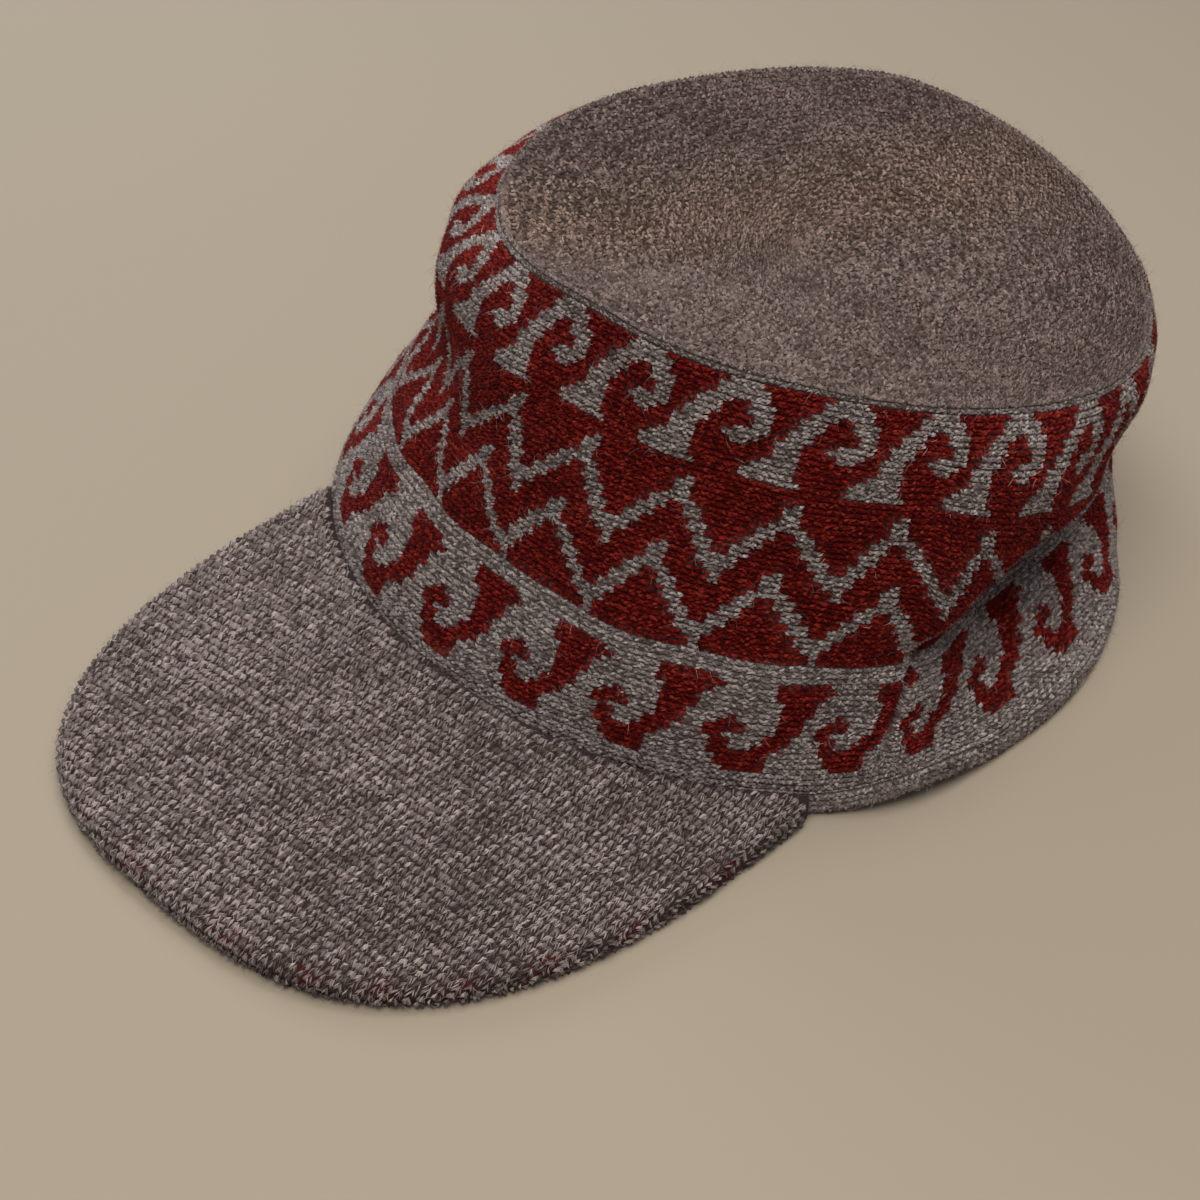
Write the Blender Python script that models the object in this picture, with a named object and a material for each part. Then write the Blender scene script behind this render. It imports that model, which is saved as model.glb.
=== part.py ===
"""Knitted cadet cap, resting on its hem.

Metres, +Z up, the visor points to -Y and the wearer's left is +X.
Pieces: crown_side (one jacquard tube, band and crown wall), crown_top (the
plain disc), band_hem (the knitted edging under the tube) and visor.
"""

import math

import bmesh
import bpy
import numpy as np

# Sizes of the cap
BASE_RADIUS = 0.100          # nominal outer radius of the tube at the hem
BAND_HEIGHT = 0.0345         # hem edge to the plain stripe above the band's scrolls
CROWN_HEIGHT = 0.097         # hem edge to the top's edge above the visor
TOP_RADIUS = 0.075           # nominal radius of the top's edge
WALL = 0.003                 # stranded knit, two yarns thick
TUCK_DEPTH = 0.011           # how far the sagging side folds in over the band
BAND_BELLY = 0.001           # outward swell halfway up the band
GAP = 0.0003                 # clearance at every seam

# Top disc
TOP_WALL = 0.0025
EDGE_ROUND = 0.0012          # rounding of the tube's upper edge
SEAT_WIDTH = 0.0015          # ledge inside the tube's upper edge that carries the disc
TOP_SAG = 0.003              # how far the disc's middle hangs below its edge
VALLEY_DEPTH = 0.005         # soft diagonal valley across the disc
VALLEY_WIDTH = 0.024
VALLEY_HEADING = 25.0        # degrees from +Y towards +X
VALLEY_OFFSET = -0.004       # valley line's distance from the axis, to its right

# Hem and the place where it lifts off the surface beside the visor
HEM_HEIGHT = 0.006
HEM_THICKNESS = 0.004
HEM_PROUD = 0.0005           # the hem stands out from the tube by this much
HEM_ROUND = 0.001
LIFT_HEIGHT = 0.0025
LIFT_AT = 63.0               # degrees round from the visor's middle
LIFT_SPAN = 17.0

# Visor
VISOR_LENGTH = 0.111         # line between the root corners to the tip
VISOR_THICKNESS = 0.0055
VISOR_SPREAD = 47.0          # degrees from its middle to each root corner
VISOR_CORNER = 0.0025        # blunt width of each root corner
VISOR_SIDE_SHIFT = 0.0013    # the outer edge leans a little towards +X
VISOR_SQUARENESS = 2.8       # exponent of the outline's superellipse
VISOR_ROOT_RISE = 0.0015     # underside of the root above the surface
VISOR_CAMBER = 0.0015        # the middle arches above the side edges
VISOR_EDGE_ROLL = 0.003      # width of the rounded outer edge

# Fineness of the faceted surfaces
COLUMNS = 80
TOP_RINGS = 7
VISOR_COLUMNS = 44
VISOR_ROWS = 8
SMOOTHING_SPAN = 9.0         # degrees over which neighbouring sections blend

# Sections of the tube, one row for each direction round the axis.
# rim, band, lip and belly are radii as shares of BASE_RADIUS, shoulder and top
# of TOP_RADIUS. band_up is a share of BAND_HEIGHT and top_up of CROWN_HEIGHT.
# lip_up is a share of the rise from the band to the top, and tuck of TUCK_DEPTH.
SECTION_COLUMNS = ("azimuth", "rim", "band", "band_up", "tuck",
                   "lip", "lip_up", "belly", "shoulder", "top", "top_up")
SECTIONS = (
    (-160, 0.99, 0.99, 0.97, 0.00, 0.990, 0.15, 0.905, 1.07, 0.98, 0.92),
    (-120, 1.03, 0.97, 0.96, 0.00, 0.960, 0.15, 0.850, 1.01, 0.91, 0.89),
    (-80, 1.02, 0.87, 0.93, 0.00, 0.840, 0.15, 0.780, 1.01, 0.89, 0.89),
    (-45, 1.01, 0.87, 0.96, 0.00, 0.838, 0.14, 0.773, 1.01, 0.88, 0.91),
    (0, 0.95, 0.83, 1.04, 0.00, 0.815, 0.13, 0.763, 0.95, 0.91, 1.00),
    (40, 0.94, 0.88, 1.04, 0.00, 0.866, 0.12, 0.808, 1.02, 0.99, 0.99),
    (60, 0.95, 0.86, 1.02, 0.00, 0.860, 0.05, 0.862, 1.07, 1.02, 0.95),
    (70, 0.91, 0.75, 0.93, 0.30, 0.855, 0.29, 0.842, 1.06, 1.02, 0.92),
    (80, 0.88, 0.68, 0.87, 0.50, 0.840, 0.50, 0.822, 1.05, 1.01, 0.88),
    (100, 0.87, 0.67, 0.86, 1.00, 0.786, 0.44, 0.795, 1.07, 1.04, 0.82),
    (120, 0.87, 0.73, 0.87, 1.00, 0.766, 0.41, 0.805, 1.08, 1.06, 0.78),
    (140, 0.86, 0.83, 0.92, 0.70, 0.800, 0.36, 0.812, 1.08, 1.05, 0.82),
    (160, 0.88, 0.92, 0.95, 0.20, 0.910, 0.20, 0.855, 1.06, 1.00, 0.87),
    (180, 0.94, 0.97, 0.97, 0.00, 0.965, 0.16, 0.900, 1.06, 0.98, 0.90),
)
BELLY_LEVEL = 0.45           # heights of the belly and the shoulder between lip and top
SHOULDER_LEVEL = 0.82
CREASE_LEVEL = 0.4           # the crease's height between the band and the lip


def section(azimuth):
    """The table's columns at one azimuth, blended between neighbouring rows."""
    table = np.array(SECTIONS)
    offsets = np.linspace(-SMOOTHING_SPAN, SMOOTHING_SPAN, 13)
    weights = 1.0 + np.cos(np.pi * offsets / (SMOOTHING_SPAN * 1.1))
    values = {}
    for place, name in enumerate(SECTION_COLUMNS[1:], start=1):
        near = np.interp(azimuth + offsets, table[:, 0], table[:, place], period=360.0)
        values[name] = float(np.average(near, weights=weights))
    return values


def rim_lift(azimuth):
    """Height of the hem's edge above the surface."""
    away = (azimuth - LIFT_AT + 180.0) % 360.0 - 180.0
    if abs(away) >= LIFT_SPAN:
        return 0.0
    return LIFT_HEIGHT * 0.5 * (1.0 + math.cos(math.pi * away / LIFT_SPAN))


def rim_radius(azimuth):
    return section(azimuth)["rim"] * BASE_RADIUS


def top_edge(azimuth):
    """Radius and height of the tube's upper edge."""
    cut = section(azimuth)
    return cut["top"] * TOP_RADIUS, cut["top_up"] * CROWN_HEIGHT


def on_axis_plane(azimuth, radius, height):
    """A point of the vertical half-plane at this azimuth; 0 is over the visor."""
    angle = math.radians(azimuth)
    return (radius * math.sin(angle), -radius * math.cos(angle), height)


def curve_through(knots, values, level):
    """Smooth curve through a few knots, read at one level."""
    total = 0.0
    for knot, value in zip(knots, values):
        others = [other for other in knots if other != knot]
        total += value * math.prod((level - other) / (knot - other) for other in others)
    return total


def tube_profile(azimuth):
    """Closed section of the tube: up the outside, over the edge, down the inside."""
    cut = section(azimuth)
    foot = HEM_HEIGHT + GAP + rim_lift(azimuth)
    rim = cut["rim"] * BASE_RADIUS
    band = cut["band"] * BASE_RADIUS
    band_top = cut["band_up"] * BAND_HEIGHT
    top, top_height = top_edge(azimuth)
    lip = cut["lip"] * BASE_RADIUS
    lip_height = band_top + cut["lip_up"] * (top_height - band_top)
    crease = band + CREASE_LEVEL * (lip - band) - cut["tuck"] * TUCK_DEPTH
    crease_height = band_top + CREASE_LEVEL * (lip_height - band_top)

    outside = []
    for step in range(4):
        share = step / 4
        swell = BAND_BELLY * 4 * share * (1 - share)
        outside.append((rim + share * (band - rim) + swell, foot + share * (band_top - foot)))
    outside.append((band, band_top))
    outside.append((crease, crease_height))
    inside = [(radius - WALL, height) for radius, height in outside]

    edge_height = top_height - EDGE_ROUND
    outside.append((lip, lip_height))
    inside.append((lip - WALL, lip_height + WALL * min(1.0, 1.6 * cut["tuck"])))
    knots = (0.0, BELLY_LEVEL, SHOULDER_LEVEL, 1.0)
    radii = (lip, cut["belly"] * BASE_RADIUS, cut["shoulder"] * TOP_RADIUS, top)
    for level in (0.15, 0.3, 0.45, 0.6, 0.72, 0.82, 0.92):
        radius = curve_through(knots, radii, level)
        height = lip_height + level * (edge_height - lip_height)
        outside.append((radius, height))
        inside.append((radius - WALL, height))

    ledge = top - SEAT_WIDTH
    ledge_height = top_height - TOP_WALL - GAP
    outside.append((top, edge_height))
    outside.append((top - EDGE_ROUND, top_height))
    outside.append((ledge, top_height))
    outside.append((ledge, ledge_height))
    inside.append((top - WALL, ledge_height))
    return outside + inside[::-1]


def top_surface(share, azimuth):
    """Height of the disc's upper face at a share of its radius."""
    radius, edge_height = top_edge(azimuth)
    heights = [top_edge(step * 30.0)[1] for step in range(12)]
    middle = sum(heights) / len(heights) - TOP_SAG
    height = middle + (edge_height - middle) * share ** 1.8
    angle = math.radians(azimuth)
    across, along = share * radius * math.sin(angle), -share * radius * math.cos(angle)
    heading = math.radians(VALLEY_HEADING)
    off_line = across * math.cos(heading) - along * math.sin(heading) - VALLEY_OFFSET
    fade = 1.0 - share ** 6
    return height - VALLEY_DEPTH * fade * math.exp(-(off_line / VALLEY_WIDTH) ** 2)


def make_material(name, colour, roughness):
    material = bpy.data.materials.new(name)
    material.use_nodes = True
    shader = material.node_tree.nodes["Principled BSDF"]
    shader.inputs["Base Color"].default_value = (*colour, 1.0)
    shader.inputs["Roughness"].default_value = roughness
    shader.inputs["Metallic"].default_value = 0.0
    material.diffuse_color = (*colour, 1.0)
    return material


def add_object(name, shape, material):
    """Turn a finished bmesh into a smooth shaded object that faces out."""
    bmesh.ops.recalc_face_normals(shape, faces=shape.faces)
    mesh = bpy.data.meshes.new(name)
    shape.to_mesh(mesh)
    shape.free()
    mesh.shade_smooth()
    mesh.set_sharp_from_angle(angle=math.radians(50))
    mesh.materials.append(material)
    item = bpy.data.objects.new(name, mesh)
    bpy.context.collection.objects.link(item)
    return item


def skin_loop(shape, sections):
    """Join closed sections round the axis into one closed ring."""
    loops = [[shape.verts.new(point) for point in section_points] for section_points in sections]
    for column, loop in enumerate(loops):
        beside = loops[(column + 1) % len(loops)]
        for place in range(len(loop)):
            after = (place + 1) % len(loop)
            shape.faces.new((loop[place], loop[after], beside[after], beside[place]))


def azimuths():
    return [column * 360.0 / COLUMNS for column in range(COLUMNS)]


def make_crown_side(material):
    shape = bmesh.new()
    skin_loop(shape, [[on_axis_plane(azimuth, radius, height)
                       for radius, height in tube_profile(azimuth)] for azimuth in azimuths()])
    return add_object("crown_side", shape, material)


def make_band_hem(material):
    """Edging ring with a flat underside and softly rounded outer corners."""
    sections = []
    for azimuth in azimuths():
        outer = rim_radius(azimuth) + HEM_PROUD
        inner = outer - HEM_THICKNESS
        low = rim_lift(azimuth)
        high = low + HEM_HEIGHT
        profile = ((inner, low), (outer - HEM_ROUND, low), (outer, low + HEM_ROUND),
                   (outer, high - HEM_ROUND), (outer - HEM_ROUND, high), (inner, high))
        sections.append([on_axis_plane(azimuth, *point) for point in profile])
    shape = bmesh.new()
    skin_loop(shape, sections)
    return add_object("band_hem", shape, material)


def make_crown_top(material):
    """Disc of even thickness whose outermost ring lies level on the ledge."""
    shape = bmesh.new()
    rings_out = [(ring / TOP_RINGS, WALL + GAP) for ring in range(1, TOP_RINGS + 1)]
    rings_out.append((1.0, SEAT_WIDTH + GAP))
    faces_up, faces_down = [], []
    for level, rings in ((0.0, faces_up), (TOP_WALL, faces_down)):
        for share, inset in rings_out:
            points = []
            for azimuth in azimuths():
                radius = share * (top_edge(azimuth)[0] - inset)
                points.append(on_axis_plane(azimuth, radius, top_surface(share, azimuth) - level))
            rings.append([shape.verts.new(point) for point in points])
    for level, rings in ((0.0, faces_up), (TOP_WALL, faces_down)):
        middle = shape.verts.new((0.0, 0.0, top_surface(0.0, 0.0) - level))
        for column in range(COLUMNS):
            beside = (column + 1) % COLUMNS
            shape.faces.new((middle, rings[0][column], rings[0][beside]))
            for inner, outer in zip(rings, rings[1:]):
                shape.faces.new((inner[column], outer[column], outer[beside], inner[beside]))
    for column in range(COLUMNS):
        beside = (column + 1) % COLUMNS
        shape.faces.new((faces_up[-1][column], faces_down[-1][column],
                         faces_down[-1][beside], faces_up[-1][beside]))
    return add_object("crown_top", shape, material)


def visor_root(azimuth):
    """Radius at which the visor meets the hem."""
    return rim_radius(azimuth) + HEM_PROUD + GAP


def visor_corner(side):
    """Plan position of one end of the visor's outer edge."""
    azimuth = side * VISOR_SPREAD
    return np.array(on_axis_plane(azimuth, visor_root(azimuth) + VISOR_CORNER, 0.0)[:2])


def visor_point(across, out):
    """Plan position: across runs -1 to 1 along the root, out 0 to 1 towards the edge."""
    azimuth = across * VISOR_SPREAD
    root = np.array(on_axis_plane(azimuth, visor_root(azimuth), 0.0)[:2])
    left, right = visor_corner(-1), visor_corner(1)
    angle = across * math.pi / 2
    bend = 2.0 / VISOR_SQUARENESS
    side = math.copysign(abs(math.sin(angle)) ** bend, across)
    forward = VISOR_LENGTH * abs(math.cos(angle)) ** bend
    edge = (left + right) / 2 + (right - left) / 2 * side
    edge += np.array((VISOR_SIDE_SHIFT * math.cos(angle), -forward))
    return root + out * (edge - root)


def make_visor(material):
    """Flat padded peak: upper and lower faces that close in a rolled outer edge."""
    shape = bmesh.new()
    upper, lower = [], []
    for column in range(VISOR_COLUMNS + 1):
        across = -1.0 + 2.0 * column / VISOR_COLUMNS
        length = float(np.linalg.norm(visor_point(across, 1.0) - visor_point(across, 0.0)))
        roll = min(VISOR_EDGE_ROLL / length, 0.5)
        shares = [row / VISOR_ROWS * (1.0 - roll) for row in range(VISOR_ROWS + 1)]
        shares += [1.0 - roll * 0.5, 1.0 - roll * 0.13]
        top_line, under_line = [], []
        for share in shares:
            x, y = visor_point(across, share)
            arch = VISOR_CAMBER * math.cos(math.pi / 2 * across) * (1.0 - share ** 2)
            centre = VISOR_THICKNESS / 2 + VISOR_ROOT_RISE * (1.0 - share) + arch
            inward = max(0.0, (share - (1.0 - roll)) / roll)
            half = VISOR_THICKNESS / 2 * math.sqrt(1.0 - inward ** 2)
            top_line.append(shape.verts.new((x, y, centre + half)))
            under_line.append(shape.verts.new((x, y, centre - half)))
        upper.append(top_line)
        lower.append(under_line)
    last = len(upper[0]) - 1
    for column in range(VISOR_COLUMNS):
        beside = column + 1
        for row in range(last):
            for side in (upper, lower):
                shape.faces.new((side[column][row], side[column][row + 1],
                                 side[beside][row + 1], side[beside][row]))
        for row in (0, last):
            shape.faces.new((upper[column][row], lower[column][row],
                             lower[beside][row], upper[beside][row]))
    for column in (0, VISOR_COLUMNS):
        for row in range(last):
            shape.faces.new((upper[column][row], upper[column][row + 1],
                             lower[column][row + 1], lower[column][row]))
    return add_object("visor", shape, material)


def stand_on_origin(items):
    """Put the origin under the middle of the cap's box, on the surface it rests on."""
    corners = np.array([vertex.co for item in items for vertex in item.data.vertices])
    low, high = corners.min(axis=0), corners.max(axis=0)
    middle = (low + high) / 2
    for item in items:
        item.location = (-middle[0], -middle[1], -low[2])


def main():
    for item in list(bpy.data.objects):
        bpy.data.objects.remove(item, do_unlink=True)
    jacquard = make_material("jacquard_knit", (0.13, 0.045, 0.04), 0.95)
    plain = make_material("plain_knit", (0.21, 0.17, 0.16), 0.95)
    edging = make_material("edging_knit", (0.24, 0.20, 0.19), 0.95)
    peak = make_material("visor_knit", (0.20, 0.16, 0.15), 0.95)
    stand_on_origin([make_crown_side(jacquard), make_crown_top(plain),
                     make_band_hem(edging), make_visor(peak)])


main()
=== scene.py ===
"""Looks of the knitted cadet cap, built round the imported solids.

Every visible surface is a knit: V stitches of wool laid over a closed backing,
both on the form of the solids, with loose fibres on top.
Metres, +Z up, the visor points to -Y and the wearer's left is +X.
"""

import math
from collections import namedtuple

import bpy
import numpy as np
from mathutils import Matrix, Vector
from mathutils.bvhtree import BVHTree
from mathutils.geometry import barycentric_transform


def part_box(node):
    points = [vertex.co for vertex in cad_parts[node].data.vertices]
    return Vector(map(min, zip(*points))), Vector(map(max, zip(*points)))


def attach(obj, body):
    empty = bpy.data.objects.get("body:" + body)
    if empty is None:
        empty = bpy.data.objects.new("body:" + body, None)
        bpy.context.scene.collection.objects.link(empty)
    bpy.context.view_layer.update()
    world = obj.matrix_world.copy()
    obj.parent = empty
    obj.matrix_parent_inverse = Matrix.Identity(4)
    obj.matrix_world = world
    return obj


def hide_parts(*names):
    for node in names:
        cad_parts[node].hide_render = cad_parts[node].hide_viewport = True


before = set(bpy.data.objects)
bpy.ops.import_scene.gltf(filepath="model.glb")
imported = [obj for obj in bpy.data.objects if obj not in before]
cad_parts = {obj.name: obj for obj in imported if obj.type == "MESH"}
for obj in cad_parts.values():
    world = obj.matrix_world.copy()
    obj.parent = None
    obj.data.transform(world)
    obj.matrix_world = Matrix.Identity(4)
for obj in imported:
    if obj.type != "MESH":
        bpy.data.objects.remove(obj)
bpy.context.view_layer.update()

# Form of the cap, with the sizes and sections of the solids
BASE_RADIUS = 0.100
BAND_HEIGHT = 0.0345
CROWN_HEIGHT = 0.097
TOP_RADIUS = 0.075
TUCK_DEPTH = 0.011
BAND_BELLY = 0.001
GAP = 0.0003
EDGE_ROUND = 0.0012
SEAT_WIDTH = 0.0015
TOP_SAG = 0.003
VALLEY_DEPTH = 0.005
VALLEY_WIDTH = 0.024
VALLEY_HEADING = 25.0
VALLEY_OFFSET = -0.004
HEM_HEIGHT = 0.006
HEM_PROUD = 0.0005
LIFT_HEIGHT = 0.004          # 1.5 mm more than the solid, as the edging curls up
LIFT_AT = 63.0
LIFT_SPAN = 17.0
VISOR_LENGTH = 0.111
VISOR_THICKNESS = 0.0055
VISOR_SPREAD = 47.0
VISOR_CORNER = 0.0025
VISOR_SIDE_SHIFT = 0.0013
VISOR_SQUARENESS = 2.8
VISOR_ROOT_RISE = 0.0015
VISOR_CAMBER = 0.0015
SMOOTHING_SPAN = 9.0         # degrees to either side over which the sections blend
SMOOTHING_STEPS = 13
SMOOTHING_FADE = 1.1         # over 1, so that the outermost still count a little
SECTION_COLUMNS = ("azimuth", "rim", "band", "band_up", "tuck",
                   "lip", "lip_up", "belly", "shoulder", "top", "top_up")
SECTIONS = (
    (-160, 0.99, 0.99, 0.97, 0.00, 0.990, 0.15, 0.905, 1.07, 0.98, 0.92),
    (-120, 1.03, 0.97, 0.96, 0.00, 0.960, 0.15, 0.850, 1.01, 0.91, 0.89),
    (-80, 1.02, 0.87, 0.93, 0.00, 0.840, 0.15, 0.780, 1.01, 0.89, 0.89),
    (-45, 1.01, 0.87, 0.96, 0.00, 0.838, 0.14, 0.773, 1.01, 0.88, 0.91),
    (0, 0.95, 0.83, 1.04, 0.00, 0.815, 0.13, 0.763, 0.95, 0.91, 1.00),
    (40, 0.94, 0.88, 1.04, 0.00, 0.866, 0.12, 0.808, 1.02, 0.99, 0.99),
    (60, 0.95, 0.86, 1.02, 0.00, 0.860, 0.05, 0.862, 1.07, 1.02, 0.95),
    (70, 0.91, 0.75, 0.93, 0.30, 0.855, 0.29, 0.842, 1.06, 1.02, 0.92),
    (80, 0.88, 0.68, 0.87, 0.50, 0.840, 0.50, 0.822, 1.05, 1.01, 0.88),
    (100, 0.87, 0.67, 0.86, 1.00, 0.786, 0.44, 0.795, 1.07, 1.04, 0.82),
    (120, 0.87, 0.73, 0.87, 1.00, 0.766, 0.41, 0.805, 1.08, 1.06, 0.78),
    (140, 0.86, 0.83, 0.92, 0.70, 0.800, 0.36, 0.812, 1.08, 1.05, 0.82),
    (160, 0.88, 0.92, 0.95, 0.20, 0.910, 0.20, 0.855, 1.06, 1.00, 0.87),
    (180, 0.94, 0.97, 0.97, 0.00, 0.965, 0.16, 0.900, 1.06, 0.98, 0.90),
)
BELLY_LEVEL = 0.45
SHOULDER_LEVEL = 0.82
CREASE_LEVEL = 0.4
BAND_STEPS = 4
WALL_LEVELS = np.linspace(0.08, 0.96, 12)
EDGE_BEVEL = 0.3             # where the edge's middle lies, as a share of its round
SEAT_DROP = 0.0002
DISH_POWER = 1.8             # how flat the top is in its middle
VALLEY_POWER = 6             # how near to the top's edge the valley fades out
EDGE_PLACES = np.arange(0.0, 360.0, 30.0)

# Grids of points that the surfaces are held as
SOLID_COLUMNS = 80           # sections of the solids
PROFILE_POINTS = 240
PROFILE_SMOOTHING = 10
TURNS = np.arange(0.0, 360.0, 0.5)
KNIT_STEP = 0.5              # wales and rows from one point to the next
INSIDE = 1.001               # taken off a grid's size, to stay within its last cell
TINY = 1e-12

# Knit of the tube: 24 repeats of a 12 stitch chart, 70 rows from the hem up
REPEATS = 24
REPEAT = 12
WALES = REPEATS * REPEAT
FOOT_ROW = 1.0               # lowest row anywhere on the tube
STRIPE_ROW = 25.0            # top of the plain stripe over the band's hooks
TOP_ROW = 70.0               # last patterned row, at the top's edge
EDGE_ROWS = 1.6              # plain rows that turn over the top's edge
BASE_TURN = -29.0            # azimuth of wale 0 at the hem
TOP_TURN = -21.0             # azimuth of wale 0 at the top's edge

# Rows that the sagging side hides: an azimuth and the last hidden row there
HIDDEN_ROWS = ((55, 25.0), (58, 27.0), (63, 34.0), (68, 39.5), (74, 46.0), (82, 51.5),
               (93, 53.5), (125, 53.0), (140, 47.0), (155, 38.0), (168, 28.0))

# An azimuth and the tube's lowest row above the hem there
FOOT_ROWS = ((-90, 4.5), (-15, 4.0), (15, 2.5), (60, 2.5), (80, 1.0),
             (100, 1.0), (130, 3.0), (180, 4.5))
FOOT_OVERLAP = 0.6           # how far below that row a stitch may still begin

# How many wales the knit slips round from even spacing, at four heights
SLIP_COLUMNS = ("wale", "band", "waist", "waves", "top")
SLIPS = (
    (-48, 0.0, 0.0, 0.5, 1.0),
    (-24, 0.0, 0.0, 0.5, 1.0),
    (-8, 0.0, -1.0, 1.0, 0.0),
    (6, 1.0, -3.8, 1.2, -1.5),
    (18, 1.5, -2.2, 0.3, -1.0),
    (30, 1.6, -0.5, 0.4, 0.5),
    (42, 1.6, 1.1, 1.5, 1.5),
    (54, 2.3, 2.8, 2.0, 2.6),
    (66, 0.0, 3.4, 1.7, 2.4),
    (76, -3.6, 2.5, 0.5, 2.4),
    (88, -1.4, 1.0, -1.8, 3.5),
    (100, 1.0, 1.0, -0.8, 2.0),
    (114, 2.0, 1.0, -0.5, 2.0),
    (140, 0.0, 0.0, 0.0, 0.0),
)
SLIP_ROWS = (13.0, 38.0, 55.0, 70.0)

# Slow ripples of the worn tube: height, waves round it and up it, and where they start
RIPPLES = ((0.0006, 7, 1.3, 0.4), (0.0004, 13, -1.9, 2.1), (0.0003, 22, 2.6, 4.0))

# Short creases: wale, lowest and highest row, width in wales, depth, and the swell beside it
CREASES = ((68.6, 2.0, 30.0, 0.9, 0.0042, 0.0020), (52.0, 30.0, 46.0, 2.5, 0.0006, 0.0))
SWELL_WIDTH = 3              # the swell's width, as a multiple of the crease's

# Knit of the hem, the top and the visor
HEM_ROWS = 4
HEM_ROLL = 0.0012            # how far the edging curls in at its foot
HEM_TOP_ROLL = 0.0006        # and at its top
HEM_POWER = 3                # how near to its foot and top it curls
DISC_ROWS = 36
DISC_INSET = 0.0007          # the top's outermost stitches cover the tube's turned edge
DISC_DRIFT = 0.05            # the rings lie off centre by a quarter of this, halfway in
DISC_DRIFT_TOWARDS = 130.0
SECTORS = 8                  # the top's decreases run in eight lines
VISOR_COLUMNS = 89
VISOR_STEPS = 24
ROLL_STEPS = 7
UPPER_TURN = 130.0           # the upper knit runs on round the edge, past its middle
UNDER_TURN = 60.0
PAD_TURN = 90.0
VISOR_ROLL = 0.003
VISOR_INSET = 0.0005         # the padding lies this deep under the knit
VISOR_WALE = 0.0019
VISOR_ROW = 0.0021
VISOR_KNIT_TURN = 5.0
VISOR_REACH = 60             # more wales and rows than the visor has on any side

# One leg of a V stitch as a few strands: its foot and head in wales and rows, how far it
# bows out, how many strands, their distance and half width, and the size of a wale and a
# row. Then how much the stitches stray, how far the strands' middles stand out, and the
# size of the slow patches in the yarn.
Kind = namedtuple("Kind", "foot head bow count apart half pitch stray depth patch")
TUBE_KNIT = Kind((-0.08, 0.02), (0.60, 0.64), 0.0, 2, 0.00052, 0.00036, (0.00185, 0.00138),
                 1.2, 0.00042, 0.02)
HEM_KNIT = TUBE_KNIT._replace(stray=1.0)
DISC_KNIT = Kind((-0.10, 0.12), (0.62, 0.40), 0.0, 3, 0.00054, 0.00031, (0.00165, 0.00205),
                 2.0, 0.0004, 0.025)
UPPER_KNIT = Kind((0.15, -0.04), (0.46, 0.96), 0.01, 3, 0.00024, 0.00016, (VISOR_WALE, VISOR_ROW),
                  1.4, 0.0005, 0.03)
UNDER_KNIT = UPPER_KNIT._replace(foot=(0.15, 0.0), head=(0.42, 0.95), bow=0.05, count=2,
                                 apart=0.00030, half=0.00022)

# Corners of a strand: share of its length, side and depth; the third is its raised middle
STRAND_CORNERS = ((0.0, 0.0, -0.6), (0.42, 1.0, -0.5), (0.5, 0.0, 1.0), (0.58, -1.0, -0.5),
                  (1.0, 0.0, -0.6))
STRAND_FACES = ((0, 2, 1), (0, 3, 2), (1, 2, 4), (2, 3, 4))
STRAND_MIDDLE = 2

# How a stitch strays, in wales and rows: aside, by leaning, up and by one leg's slope
STRAY_ASIDE = 0.05
STRAY_LEAN = 0.07
STRAY_UP = 0.07
STRAY_SLOPE = 0.22
LEANS_ABOUT = 0.4
SLOPES_ABOUT = 0.25
STRAY_DEPTH = 0.2            # as a share of the strands' depth

# Pieces: how many the tube's stitches make, and how deep the outer and inner faces of
# the backings lie under the knit
TUBE_PARTS = 3
TUBE_BACKING = (0.0005, 0.0026)
HEM_BACKING = (0.0004, 0.0030)
DISC_BACKING = (0.0005, 0.0022)
TUBE_BACKING_ROWS = 36
DISC_BACKING_ROWS = 38
DISC_BACKING_END = DISC_ROWS - 0.5   # leaves a small hole

# Loose fibres
TUBE_FIBRES = 42000
HEM_FIBRES = 4500
DISC_FIBRES = 20000
UPPER_FIBRES = 18000
UNDER_FIBRES = 4500
FIBRE_LENGTH = 0.0021        # chance makes it half to one and a half of this
FIBRE_WIDTH = 0.00004
FIBRE_START = 0.00035        # how far over the knit they begin
FIBRE_SCATTER = 0.0006       # and how far aside
FIBRE_BEND = 0.6
FIBRE_ARCH = 0.1
NEARLY_UP = 0.9
FIBRES_UP = 0.16             # share of the fibres that stand off the knit
UP_LIFT = (0.35, 0.5)        # least lift of those, and what chance adds
FLAT_LIFT = 0.08             # the most that chance lifts the others
FIBRES_BRIGHT = 0.25         # share of bright fibres
FIBRE_LIGHT = (1.3, 1.05)    # lightness of those and of the others
FIBRE_LIGHT_SPREAD = 0.15

# Charts, read from the top row down; # is the red yarn and . the grey
WAVES = (
    "#....#######",
    "......######",
    "......######",
    "..##...####.",
    ".###...###..",
    ".####..###..",
    "#####..##...",
    "###....##...",
    "##....##...#",
    "###..###...#",
    "########...#",
    "#######....#",
    "######.....#",
    "#####......#",
    "#####.......",
)
WAVES_FROM = 55
ZIGZAG = (
    ".###########",
    ".##########.",
    ".##########.",
    ".##########.",
    "..########..",
    "#..######..#",
    "#..######..#",
    "##..####..##",
    "##..####..##",
    "###..##..###",
    "###..##..###",
    "####....####",
    "####....####",
    "#####..#####",
    "######.#####",
    "######.#####",
)
ZIGZAGS_FROM = (25, 37)
HOOKS = (
    "....######..",
    "....#######.",
    "....######..",
    ".....####...",
    ".....####...",
    ".....####...",
    "#....###....",
    "##...###...#",
    "##...###..##",
    "....###...##",
    "#...###....#",
    "#..###.....#",
    "#####......#",
    "#####.......",
    "#####.......",
    ".####.......",
)
HOOKS_FROM = 6

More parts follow.
